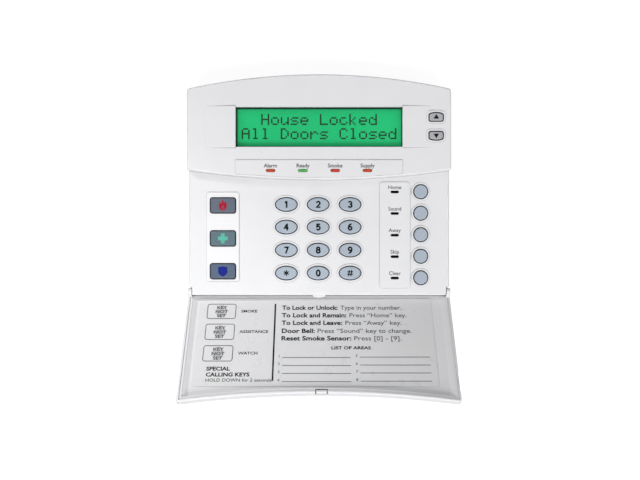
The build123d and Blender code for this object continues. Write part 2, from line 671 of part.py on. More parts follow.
with BuildPart() as chip_legs:
    for turn in (0, 90):
        with BuildSketch(front(BOARD_BACK)):
            with Locations(Location((*CHIP_SPOT, 0), (0, 0, turn))):
                with GridLocations(LEG_PITCH, CHIP_SIZE[0] + 2.4, LEGS_A_SIDE, 2):
                    Rectangle(0.45 * LEG_PITCH, 2.0)
        extrude(amount=-0.3)
chip_legs.part.label = "chip_legs"

with BuildPart() as sounder:
    with BuildSketch(front(BOARD_BACK)):
        with Locations(SOUNDER_SPOT):
            Circle(SOUNDER_SIZE[0])
    extrude(amount=-SOUNDER_SIZE[1])
    with BuildSketch(front(BOARD_BACK - SOUNDER_SIZE[1])):
        with Locations(SOUNDER_SPOT):
            Circle(1.5)
    extrude(amount=1.5, mode=Mode.SUBTRACT)
    chamfer(sounder.edges().filter_by(GeomType.CIRCLE).group_by(Axis.Y)[-1].sort_by(SortBy.LENGTH)[-1], 0.6)
sounder.part.label = "sounder"

with BuildPart() as capacitors:
    with BuildSketch(front(BOARD_BACK)):
        with Locations(*CAPACITOR_SPOTS):
            Circle(CAPACITOR_SIZE[0])
    extrude(amount=-CAPACITOR_SIZE[1])
    chamfer(capacitors.faces().group_by(Axis.Y)[-1].edges(), 0.4)
capacitors.part.label = "capacitors"

with BuildPart() as regulator:
    with BuildSketch(front(BOARD_BACK)):
        with Locations(REGULATOR_SPOT):
            Rectangle(REGULATOR_SIZE[0], REGULATOR_SIZE[1])
    extrude(amount=-REGULATOR_SIZE[2])
regulator.part.label = "regulator"

with BuildPart() as small_parts:
    with BuildSketch(front(BOARD_BACK)):
        for spot, counts in SMALL_PART_GROUPS:
            with Locations(spot):
                with GridLocations(*SMALL_PART_PITCH, *counts):
                    Rectangle(SMALL_PART_SIZE[0], SMALL_PART_SIZE[1])
    extrude(amount=-SMALL_PART_SIZE[2])
small_parts.part.label = "small_parts"

TERMINAL_Z = 4.0
TERMINAL_COUNT = 4
TERMINAL_PITCH = 5.08
TERMINAL_SIZE = (TERMINAL_COUNT * TERMINAL_PITCH, 8.0, 9.0)
TERMINAL_SCREW = (1.7, 4.0)  # radius and length
TERMINAL_SCREW_TOP = 7.4  # above the board
TERMINAL_SCREW_Z = TERMINAL_Z + 0.6
WIRE_ENTRY = (3.2, 3.0, 3.0)  # width, height and depth
with BuildPart() as terminal_block:
    with BuildSketch(front(BOARD_BACK)):
        with Locations((0, TERMINAL_Z)):
            Rectangle(TERMINAL_SIZE[0], TERMINAL_SIZE[1])
    extrude(amount=-TERMINAL_SIZE[2])
    with BuildSketch(front(BOARD_BACK - TERMINAL_SIZE[2])):
        with Locations((0, TERMINAL_SCREW_Z)):
            with GridLocations(TERMINAL_PITCH, 1, TERMINAL_COUNT, 1):
                Circle(TERMINAL_SCREW[0] + 0.2)
    extrude(amount=6.0, mode=Mode.SUBTRACT)
    with BuildSketch(Plane.XY.offset(TERMINAL_Z - TERMINAL_SIZE[1] / 2)):
        with Locations((0, -BOARD_BACK + 3.2)):
            with GridLocations(TERMINAL_PITCH, 1, TERMINAL_COUNT, 1):
                Rectangle(WIRE_ENTRY[0], WIRE_ENTRY[1])
    extrude(amount=WIRE_ENTRY[2], mode=Mode.SUBTRACT)
terminal_block.part.label = "terminal_block"

with BuildPart() as terminal_screws:
    with BuildSketch(front(BOARD_BACK - TERMINAL_SCREW_TOP)):
        with Locations((0, TERMINAL_SCREW_Z)):
            with GridLocations(TERMINAL_PITCH, 1, TERMINAL_COUNT, 1):
                Circle(TERMINAL_SCREW[0])
    extrude(amount=TERMINAL_SCREW[1])
    with BuildSketch(front(BOARD_BACK - TERMINAL_SCREW_TOP)):
        with Locations((0, TERMINAL_SCREW_Z)):
            with GridLocations(TERMINAL_PITCH, 1, TERMINAL_COUNT, 1):
                Rectangle(3.6, 0.6)
    extrude(amount=0.8, mode=Mode.SUBTRACT)
terminal_screws.part.label = "terminal_screws"

# ---- door ----------------------------------------------------------------------------------------
SIDE_RIM = 2.3
END_RIM = 3.4
COVE = 3.6  # how far the curve inside the side walls reaches across the panel
END_COVE = 1.0  # the same inside the end wall
COVE_BREAK = DOOR_RIM + 0.9  # where the cove turns from steep to shallow
BEAD = 0.5  # raised outer bead of the rim
HOLLOW_HEEL = 6.0  # the hollow runs out past the hinge edge
SCALLOP_U = 62.0  # middle of the finger scallops, measured from the hinge axis
CATCH_X = 1.5
CATCH_WIDTH = 6.0

with BuildPart() as door:
    with BuildSketch(door_plane(DOOR_RIM)) as door_outline:
        add(door_shape(0, 0, DOOR_HEEL))
        fillet(door_outline.vertices().sort_by(Axis.Y)[-2:], 1.5)
    extrude(amount=DOOR_OUTER - DOOR_RIM)
    outer_rim = door.faces().sort_by(Axis.Z)[0].edges()
    fillet(outer_rim, 0.9)
    # hollow, its floor smaller than its mouth so that the walls run into the panel in a cove
    for share_from, share_to, out_from, out_to in [
        (0.0, 0.22, DOOR_RIM, COVE_BREAK),
        (0.22, 1.0, COVE_BREAK, DOOR_INNER),
    ]:
        with BuildSketch(door_plane(out_from)):
            add(door_shape(SIDE_RIM + share_from * COVE, END_RIM + share_from * END_COVE, -HOLLOW_HEEL))
        with BuildSketch(door_plane(out_to)):
            add(door_shape(SIDE_RIM + share_to * COVE, END_RIM + share_to * END_COVE, -HOLLOW_HEEL))
        loft(ruled=True, mode=Mode.SUBTRACT)
    # lower inner ledge of the end rim, leaving a raised bead outside it
    with BuildSketch(door_plane(DOOR_RIM - 0.5)):
        add(door_shape(1.3, 1.5, DOOR_HEEL))
    extrude(amount=BEAD + 0.5, mode=Mode.SUBTRACT)
    # side walls taper down to the hinge
    with BuildSketch(door_section(-HALF_WIDTH - 1)):
        with BuildLine():
            Polyline((-0.8, 4.7), (-3.0, 4.7), (-3.0, 1.5), (2.8, 1.5), close=True)
        make_face()
    extrude(amount=2 * HALF_WIDTH + 2, mode=Mode.SUBTRACT)
    # half-round notch in the hinge edge, in front of the case's release slot
    with BuildSketch(door_plane(0)):
        with Locations((0, DOOR_HEEL)):
            Ellipse(4.0, 2.0)
    extrude(amount=DOOR_OUTER + 1, mode=Mode.SUBTRACT)
    # finger scallops in both side walls
    for side in (-1, 1):
        with BuildSketch(door_plane(DOOR_RIM - 1)):
            with Locations((side * (HALF_WIDTH + 24.2), SCALLOP_U)):
                Circle(25.2)
        extrude(amount=3.2, mode=Mode.SUBTRACT)
    # catch: a notch through the end rim with a small hook standing in it
    with BuildSketch(door_plane(DOOR_RIM - 1)):
        with Locations((CATCH_X, DOOR_MID_LENGTH - 0.6)):
            Rectangle(CATCH_WIDTH + 1.2, 4.4)
    extrude(amount=1 + 1.6, mode=Mode.SUBTRACT)
    with BuildSketch(door_section(CATCH_X - CATCH_WIDTH / 2)):
        with BuildLine():
            Polyline(
                (DOOR_MID_LENGTH - 1.6, DOOR_RIM + 1.8),
                (DOOR_MID_LENGTH - 0.3, DOOR_RIM + 1.8),
                (DOOR_MID_LENGTH - 0.3, DOOR_RIM + 1.0),
                (DOOR_MID_LENGTH + 0.25, DOOR_RIM + 0.7),
                (DOOR_MID_LENGTH - 0.3, DOOR_RIM - 0.1),
                (DOOR_MID_LENGTH - 1.6, DOOR_RIM - 0.1),
                close=True,
            )
        make_face()
    extrude(amount=CATCH_WIDTH)
    # hinge ears and pins
    for side in (-1, 1):
        with BuildSketch(door_section(side * EAR_INNER_X)):
            Circle(EAR_RADIUS)
            with BuildLine():
                Polyline(
                    (DOOR_HEEL, DOOR_INNER + 0.3), (3.4, DOOR_INNER + 0.3), (1.7, 0), (-1.4, 0), close=True
                )
            make_face()
        extrude(amount=side * (HALF_WIDTH - EAR_INNER_X))
        with BuildSketch(door_section(side * PIN_END_X)):
            Circle(PIN_RADIUS)
        extrude(amount=side * (EAR_INNER_X + 0.5 - PIN_END_X))
door.part.label = "door"

CARD = (-73.4, 69.6, 2.0, 63.8)
CARD_THICK = 0.25
with BuildPart() as instruction_card:
    with BuildSketch(door_plane(DOOR_INNER - CARD_THICK)):
        with Locations(((CARD[0] + CARD[1]) / 2, (CARD[2] + CARD[3]) / 2)):
            RectangleRounded(CARD[1] - CARD[0], CARD[3] - CARD[2], 1.0)
    extrude(amount=CARD_THICK)
instruction_card.part.label = "instruction_card"

# ---- export --------------------------------------------------------------------------------------
export_step(front_cover.part, "parts/front_cover.step")
export_step(back_plate.part, "parts/back_plate.step")
export_step(display_window.part, "parts/display_window.step")
export_step(display_glass.part, "parts/display_glass.step")
export_step(display_backlight.part, "parts/display_backlight.step")
export_step(display_frame.part, "parts/display_frame.step")
export_step(display_board.part, "parts/display_board.step")
export_step(display_pins.part, "parts/display_pins.step")
export_step(main_board.part, "parts/main_board.step")
export_step(board_screws.part, "parts/board_screws.step")
export_step(key_contacts.part, "parts/key_contacts.step")
export_step(light_emitters.part, "parts/light_emitters.step")
export_step(keypad_mat.part, "parts/keypad_mat.step")
export_step(scroll_mat.part, "parts/scroll_mat.step")
export_step(function_lights.part, "parts/function_lights.step")
export_step(controller_chip.part, "parts/controller_chip.step")
export_step(chip_legs.part, "parts/chip_legs.step")
export_step(sounder.part, "parts/sounder.step")
export_step(capacitors.part, "parts/capacitors.step")
export_step(regulator.part, "parts/regulator.step")
export_step(small_parts.part, "parts/small_parts.step")
export_step(terminal_block.part, "parts/terminal_block.step")
export_step(terminal_screws.part, "parts/terminal_screws.step")
export_step(door.part, "parts/door.step")
export_step(instruction_card.part, "parts/instruction_card.step")
for piece in key_parts + light_parts:
    export_step(piece, "parts/" + piece.label + ".step")
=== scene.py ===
"""Looks for the wall-mounted alarm keypad: materials, printing, display characters, light, camera.

Metres, in the part's own frame: +X right, +Y into the wall, +Z up.
"""
import json
import math

import bmesh
import bpy
from mathutils import Matrix, Vector


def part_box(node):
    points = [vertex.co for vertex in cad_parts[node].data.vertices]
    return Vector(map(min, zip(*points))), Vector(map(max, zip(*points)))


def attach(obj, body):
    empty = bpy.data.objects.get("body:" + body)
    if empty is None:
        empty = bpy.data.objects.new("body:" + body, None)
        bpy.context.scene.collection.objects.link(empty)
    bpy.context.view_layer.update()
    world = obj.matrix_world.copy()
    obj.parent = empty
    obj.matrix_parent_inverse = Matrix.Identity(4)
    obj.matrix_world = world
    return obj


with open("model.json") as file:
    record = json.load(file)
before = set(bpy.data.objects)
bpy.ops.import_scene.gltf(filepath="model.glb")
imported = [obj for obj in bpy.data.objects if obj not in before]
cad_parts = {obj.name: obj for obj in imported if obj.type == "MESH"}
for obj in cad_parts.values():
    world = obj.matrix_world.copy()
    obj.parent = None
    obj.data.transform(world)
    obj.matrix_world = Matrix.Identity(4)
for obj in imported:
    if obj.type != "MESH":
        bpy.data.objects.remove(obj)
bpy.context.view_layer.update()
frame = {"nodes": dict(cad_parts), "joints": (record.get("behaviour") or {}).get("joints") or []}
NODES = frame["nodes"]
MM = 0.001  # one millimetre, in metres

# ---- places taken from the frame -------------------------------------------------------------------
hinge = [j for j in frame["joints"] if j["name"] == "door_hinge"][0]
HINGE = Vector(hinge["pos_m"])
OPEN = math.radians(hinge["range_deg"][1])
# all in mm: the door's from the hinge axis, the others in front of the wall
DOOR_INNER = 4.6  # inner face of the door panel
CARD_THICK = 0.25
CARD_FACE = DOOR_INNER - CARD_THICK
FACE = 20.8  # keypad face
HOOD = 25.4  # face of the hood
RAISED = 0.6  # height of the label panel and of the status strip
INK = 0.03  # thickness of the printing, in mm


def front_of(node):
    """Depth of a node's foremost point in front of the wall, in mm."""
    return -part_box(node)[0].y / MM


def middle_of(node):
    """(x, z) of a node's middle, in mm."""
    low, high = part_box(node)
    return (low.x + high.x) / 2 / MM, (low.z + high.z) / 2 / MM


def front_frame(depth, x=0.0, z=0.0):
    """Local x right, local y up, local z out of the wall, the origin at x, z and that depth (mm)."""
    return Matrix(
        (
            (1, 0, 0, x * MM),
            (0, 0, -1, -depth * MM),
            (0, 1, 0, z * MM),
            (0, 0, 0, 1),
        )
    )


def door_frame(out, x=0.0, along=0.0):
    """Local x right, local y towards the hinge, local z out of the door's inner face (mm)."""
    away = Vector((0, -math.cos(OPEN), -math.sin(OPEN)))
    reach = Vector((0, -math.sin(OPEN), math.cos(OPEN)))
    spot = HINGE + Vector((x * MM, 0, 0)) + away * out * MM + reach * along * MM
    right, up, normal = Vector((1, 0, 0)), -reach, -away
    return Matrix(
        (
            (right.x, up.x, normal.x, spot.x),
            (right.y, up.y, normal.y, spot.y),
            (right.z, up.z, normal.z, spot.z),
            (0, 0, 0, 1),
        )
    )


# ---- materials ---------------------------------------------------------------------------------------
STREAK_STRETCH = (40.0, 1.0, 1.0)
# how far the painted shade in narrow gaps reaches
GAP_SHADE_REACH = 0.0013


def new_material(name):
    material = bpy.data.materials.new(name)
    material.use_nodes = True
    tree = material.node_tree
    shader = tree.nodes["Principled BSDF"]
    return material, tree, shader


def noise(tree, scale, detail=3.0, roughness=0.5, stretch=None):
    coords = tree.nodes.new("ShaderNodeTexCoord")
    texture = tree.nodes.new("ShaderNodeTexNoise")
    texture.inputs["Scale"].default_value = scale
    texture.inputs["Detail"].default_value = detail
    texture.inputs["Roughness"].default_value = roughness
    source = coords.outputs["Object"]
    if stretch:
        mapping = tree.nodes.new("ShaderNodeMapping")
        mapping.inputs["Scale"].default_value = stretch
        tree.links.new(source, mapping.inputs["Vector"])
        source = mapping.outputs["Vector"]
    tree.links.new(source, texture.inputs["Vector"])
    return texture.outputs["Fac"]


def ramp(tree, value, stops):
    node = tree.nodes.new("ShaderNodeValToRGB")
    elements = node.color_ramp.elements
    while len(elements) < len(stops):
        elements.new(0.5)
    for element, (position, colour) in zip(elements, stops):
        element.position = position
        element.color = (*colour, 1.0)
    tree.links.new(value, node.inputs["Fac"])
    return node.outputs["Color"]


def map_range(tree, value, from_low, from_high, to_low, to_high):
    node = tree.nodes.new("ShaderNodeMapRange")
    for key, number in zip(
        ("From Min", "From Max", "To Min", "To Max"), (from_low, from_high, to_low, to_high)
    ):
        node.inputs[key].default_value = number
    tree.links.new(value, node.inputs["Value"])
    return node.outputs["Result"]


def mix_colour(tree, factor, first, second):
    node = tree.nodes.new("ShaderNodeMix")
    node.data_type = "RGBA"
    for socket, value in ((node.inputs[0], factor), (node.inputs[6], first), (node.inputs[7], second)):
        if isinstance(value, tuple):
            socket.default_value = (*value, 1.0)
        else:
            tree.links.new(value, socket)
    return node.outputs[2]


def shade(colour, factor):
    return tuple(min(1.0, c * factor) for c in colour)


def edge_mask(tree, radius):
    """1 on edges and 0 on flat faces, from how far a rounded normal leans from the true one."""
    bevel = tree.nodes.new("ShaderNodeBevel")
    bevel.samples = 4
    bevel.inputs["Radius"].default_value = radius
    geometry = tree.nodes.new("ShaderNodeNewGeometry")
    dot = tree.nodes.new("ShaderNodeVectorMath")
    dot.operation = "DOT_PRODUCT"
    tree.links.new(bevel.outputs["Normal"], dot.inputs[0])
    tree.links.new(geometry.outputs["Normal"], dot.inputs[1])
    return map_range(tree, dot.outputs["Value"], 0.99, 0.75, 0.0, 1.0), bevel.outputs["Normal"]


def gap_shade_mask(tree, reach):
    """Painted shade: 0 in the open and 1 deep in a narrow gap, where the colour is darkened nearly to black.
    """
    occlusion = tree.nodes.new("ShaderNodeAmbientOcclusion")
    occlusion.samples = 6
    occlusion.inputs["Distance"].default_value = reach
    return map_range(tree, occlusion.outputs["AO"], 0.2, 0.72, 1.0, 0.0)


def inside_box(tree, low, high):
    """1 inside a box given in metres, with a soft border."""
    coords = tree.nodes.new("ShaderNodeTexCoord")
    axes = tree.nodes.new("ShaderNodeSeparateXYZ")
    tree.links.new(coords.outputs["Object"], axes.inputs[0])
    result = None
    for axis in range(3):
        for limit, outward in ((low[axis], -1), (high[axis], 1)):
            share = map_range(
                tree, axes.outputs[axis], limit - outward * 0.0001, limit + outward * 0.0001, 1.0, 0.0
            )
            if result is None:
                result = share
            else:
                both = tree.nodes.new("ShaderNodeMath")
                both.operation = "MULTIPLY"
                tree.links.new(result, both.inputs[0])
                tree.links.new(share, both.inputs[1])
                result = both.outputs[0]
    return result


def moulded(
    name,
    colour,
    rough=0.42,
    grain=2600.0,
    bump=0.06,
    vary=0.03,
    bevel=0.0003,
    wear=0.25,
    wear_colour=None,
    panel=None,
):
    """Moulded plastic or rubber: mottled colour, fine grain, softened edges that are a little worn, and
    painted shade, nearly black, deep in the gaps. panel is a box and the colour that the surface has inside
    it."""
    material, tree, shader = new_material(name)
    mottle = noise(tree, 55.0, 4.0, 0.6)
    base = ramp(tree, mottle, [(0.3, shade(colour, 1 - vary)), (0.7, shade(colour, 1 + vary))])
    specks = noise(tree, 1500.0, 2.0, 0.6)
    dust = map_range(tree, specks, 0.62, 0.78, 0.0, 0.16)
    base = mix_colour(tree, dust, base, shade(colour, 0.86))
    if panel:
        low, high, panel_colour = panel
        base = mix_colour(tree, inside_box(tree, low, high), base, panel_colour)
    edges, rounded = edge_mask(tree, bevel)
    edge_break = map_range(tree, noise(tree, 420.0, 3.0, 0.7), 0.35, 0.7, 0.2, 1.0)
    worn = tree.nodes.new("ShaderNodeMath")
    worn.operation = "MULTIPLY"
    tree.links.new(edges, worn.inputs[0])
    tree.links.new(edge_break, worn.inputs[1])
    worn_share = map_range(tree, worn.outputs[0], 0.0, 1.0, 0.0, wear)
    base = mix_colour(tree, worn_share, base, wear_colour or shade(colour, 1.12))
    # painted shade: the colour darkens nearly to black deep in narrow gaps
    base = mix_colour(tree, gap_shade_mask(tree, GAP_SHADE_REACH), base, shade(colour, 0.07))
    tree.links.new(base, shader.inputs["Base Color"])
    smudges = noise(tree, 120.0, 5.0, 0.65)
    tree.links.new(map_range(tree, smudges, 0.3, 0.7, rough - 0.06, rough + 0.08), shader.inputs["Roughness"])
    height = noise(tree, grain, 2.0, 0.5)
    bumped = tree.nodes.new("ShaderNodeBump")
    bumped.inputs["Strength"].default_value = bump
    bumped.inputs["Distance"].default_value = 0.0002
    tree.links.new(height, bumped.inputs["Height"])
    tree.links.new(rounded, bumped.inputs["Normal"])
    tree.links.new(bumped.outputs["Normal"], shader.inputs["Normal"])
    return material


def brushed(name, colour, rough=0.32):
    """Metal with fine streaks along y and z."""
    material, tree, shader = new_material(name)
    streaks = noise(tree, 240.0, 4.0, 0.6, STREAK_STRETCH)
    tree.links.new(
        ramp(tree, streaks, [(0.3, shade(colour, 0.82)), (0.7, shade(colour, 1.1))]),
        shader.inputs["Base Color"],
    )
    tree.links.new(map_range(tree, streaks, 0.3, 0.7, rough - 0.08, rough + 0.12), shader.inputs["Roughness"])
    shader.inputs["Metallic"].default_value = 1.0
    bumped = tree.nodes.new("ShaderNodeBump")
    bumped.inputs["Strength"].default_value = 0.08
    bumped.inputs["Distance"].default_value = 0.0001
    tree.links.new(streaks, bumped.inputs["Height"])
    tree.links.new(bumped.outputs["Normal"], shader.inputs["Normal"])
    return material


def ink(name, colour, rough=0.5):
    """Printed ink: slightly uneven density."""
    material, tree, shader = new_material(name)
    density = noise(tree, 1800.0, 3.0, 0.6)
    tree.links.new(
        ramp(tree, density, [(0.3, shade(colour, 0.85)), (0.75, shade(colour, 1.25))]),
        shader.inputs["Base Color"],
    )
    tree.links.new(map_range(tree, density, 0.3, 0.7, rough - 0.08, rough + 0.08), shader.inputs["Roughness"])
    shader.inputs["Specular IOR Level"].default_value = 0.12
    return material


def lens(name, colour, glow, sheen=0.5):
    """Tinted light window, a little brighter where the emitter behind it shows through."""
    material, tree, shader = new_material(name)
    cloud = noise(tree, 700.0, 2.0, 0.5)
    tone = ramp(tree, cloud, [(0.3, shade(colour, 0.8)), (0.7, shade(colour, 1.15))])
    tree.links.new(tone, shader.inputs["Base Color"])
    tree.links.new(tone, shader.inputs["Emission Color"])
    shader.inputs["Emission Strength"].default_value = glow
    shader.inputs["Specular IOR Level"].default_value = sheen
    tree.links.new(map_range(tree, cloud, 0.3, 0.7, 0.15, 0.3), shader.inputs["Roughness"])
    return material


def display_material(name, colour, glow):
    """Backlit display: a glowing field that is slightly cloudy."""
    material, tree, shader = new_material(name)
    cloud = noise(tree, 22.0, 2.0, 0.4)
    field = ramp(tree, cloud, [(0.25, shade(colour, 0.94)), (0.75, shade(colour, 1.05))])
    tree.links.new(field, shader.inputs["Base Color"])
    tree.links.new(field, shader.inputs["Emission Color"])
    shader.inputs["Emission Strength"].default_value = glow
    shader.inputs["Specular IOR Level"].default_value = 0.06
    tree.links.new(map_range(tree, cloud, 0.3, 0.7, 0.3, 0.4), shader.inputs["Roughness"])
    return material


def clear_window(name):
    """Clear window with a faint film of dust; nearly see-through."""
    material, tree, shader = new_material(name)
    film = noise(tree, 60.0, 4.0, 0.6)
    tint = ramp(tree, film, [(0.3, (0.9, 0.95, 0.93)), (0.7, (1, 1, 1))])
    tree.links.new(tint, shader.inputs["Base Color"])
    tree.links.new(map_range(tree, film, 0.3, 0.7, 0.04, 0.1), shader.inputs["Roughness"])
    shader.inputs["Alpha"].default_value = 0.01
    return material


def board_material(name):
    """Varnished circuit board with a pattern of paler tracks."""
    material, tree, shader = new_material(name)
    weave = noise(tree, 900.0, 2.0, 0.5)
    tracks = tree.nodes.new("ShaderNodeTexVoronoi")
    tracks.distance = "MANHATTAN"
    tracks.inputs["Scale"].default_value = 240.0
    coords = tree.nodes.new("ShaderNodeTexCoord")
    tree.links.new(coords.outputs["Object"], tracks.inputs["Vector"])
    lines = map_range(tree, tracks.outputs["Distance"], 0.3, 0.34, 0.0, 1.0)
    base = ramp(tree, weave, [(0.3, (0.012, 0.12, 0.05)), (0.7, (0.02, 0.16, 0.07))])
    base = mix_colour(tree, lines, base, (0.02, 0.21, 0.09))
    tree.links.new(base, shader.inputs["Base Color"])
    tree.links.new(map_range(tree, weave, 0.3, 0.7, 0.25, 0.4), shader.inputs["Roughness"])
    return material


WHITE = (0.72, 0.72, 0.735)
TRAY_LOW = (-0.0700, -0.0240, -0.0600)
TRAY_HIGH = (-0.0490, -0.0209, -0.0038)
cover_white = moulded(
    "cover_white",
    WHITE,
    rough=0.4,
    vary=0.012,
    wear=0.35,
    wear_colour=(0.82, 0.82, 0.82),
    panel=(TRAY_LOW, TRAY_HIGH, (0.77, 0.765, 0.78)),
)
case_white = moulded("case_white", WHITE, rough=0.4, vary=0.012, wear=0.35, wear_colour=(0.82, 0.82, 0.82))
plate_white = moulded("plate_white", (0.72, 0.72, 0.72), rough=0.5, vary=0.03)
key_blue = moulded("key_blue", (0.365, 0.42, 0.49), rough=0.45, vary=0.03, bevel=0.0004, bump=0.09)
scroll_grey = moulded("scroll_grey", (0.38, 0.385, 0.405), rough=0.45, bevel=0.0004, bump=0.09)
fire_grey = moulded("fire_grey", (0.10, 0.118, 0.158), rough=0.45, bevel=0.0004, bump=0.09)
medical_grey = moulded("medical_grey", (0.09, 0.145, 0.172), rough=0.45, bevel=0.0004, bump=0.09)
guard_grey = moulded("guard_grey", (0.075, 0.105, 0.165), rough=0.45, bevel=0.0004, bump=0.09)
mat_grey = moulded("mat_grey", (0.55, 0.57, 0.6), rough=0.6, bump=0.12)
chip_black = moulded("chip_black", (0.03, 0.03, 0.032), rough=0.5, bump=0.12, wear_colour=(0.1, 0.1, 0.1))
terminal_green = moulded("terminal_green", (0.04, 0.27, 0.1), rough=0.4)
part_tan = moulded("part_tan", (0.33, 0.25, 0.17), rough=0.45)
carbon_black = moulded("carbon_black", (0.02, 0.02, 0.02), rough=0.7, bump=0.15)
card_paper = moulded("card_paper", (0.69, 0.69, 0.70), rough=0.3, vary=0.015, grain=5200.0, bump=0.03)
frame_dark = brushed("frame_dark", (0.12, 0.12, 0.125), rough=0.4)
steel = brushed("steel", (0.62, 0.62, 0.6))
tinned = brushed("tinned", (0.72, 0.69, 0.62), rough=0.25)
can_metal = brushed("can_metal", (0.75, 0.75, 0.77), rough=0.28)
ink_black = ink("ink_black", (0.006, 0.006, 0.008))
ink_dark = ink("ink_dark", (0.05, 0.05, 0.055))
ink_grey = ink("ink_grey", (0.09, 0.09, 0.095))
ink_blot = ink("ink_blot", (0.44, 0.44, 0.455))
ink_red = ink("ink_red", (0.34, 0.008, 0.03))
ink_teal = ink("ink_teal", (0.10, 0.40, 0.31))
ink_blue = ink("ink_blue", (0.008, 0.018, 0.2))
dot_green = ink("dot_green", (0.001, 0.035, 0.012), rough=0.4)
# dark border colour, partly a painted shadow of the display's recess walls
border_and_shadow = ink("border_and_shadow", (0.004, 0.035, 0.02), rough=0.4)
lens_orange = lens("lens_orange", (0.40, 0.055, 0.018), 0.12, sheen=0.3)
lens_red = lens("lens_red", (0.46, 0.045, 0.03), 0.12, sheen=0.3)
lens_green = lens("lens_green", (0.08, 0.36, 0.09), 0.12, sheen=0.3)
lens_dark = lens("lens_dark", (0.004, 0.004, 0.005), 0.0, sheen=0.08)
emitter_white = lens("emitter_white", (0.8, 0.78, 0.6), 0.2)
display_green = display_material("display_green", (0.003, 0.38, 0.125), 0.32)
backlight_green = display_material("backlight_green", (0.3, 0.8, 0.35), 0.6)
window_clear = clear_window("window_clear")
board_green = board_material("board_green")

NUMBER_KEYS = ["key_%d" % n for n in range(1, 10)] + ["key_star", "key_0", "key_hash"]
ROUND_KEYS = ["key_stay", "key_chime", "key_exit", "key_bypass", "key_cancel"]
FINISHES = {
    "front_cover": cover_white,
    "door": case_white,
    "back_plate": plate_white,
    "display_window": window_clear,
    "display_glass": display_green,
    "display_backlight": backlight_green,
    "display_frame": frame_dark,
    "display_board": board_green,
    "main_board": board_green,
    "display_pins": tinned,
    "board_screws": steel,
    "terminal_screws": steel,
    "key_contacts": carbon_black,
    "light_emitters": emitter_white,
    "keypad_mat": mat_grey,
    "scroll_mat": mat_grey,
    "function_lights": lens_dark,
    "status_light_1": lens_orange,
    "status_light_2": lens_green,
    "status_light_3": lens_red,
    "status_light_4": lens_orange,
    "controller_chip": chip_black,
    "regulator": chip_black,
    "sounder": chip_black,
    "chip_legs": tinned,
    "capacitors": can_metal,
    "small_parts": part_tan,
    "terminal_block": terminal_green,
    "instruction_card": card_paper,
    "key_fire": fire_grey,
    "key_medical": medical_grey,
    "key_guard": guard_grey,
    "key_up": scroll_grey,
    "key_down": scroll_grey,
}
for key in NUMBER_KEYS + ROUND_KEYS:
    FINISHES[key] = key_blue
for node, finish in FINISHES.items():
    NODES[node].data.materials.clear()
    NODES[node].data.materials.append(finish)


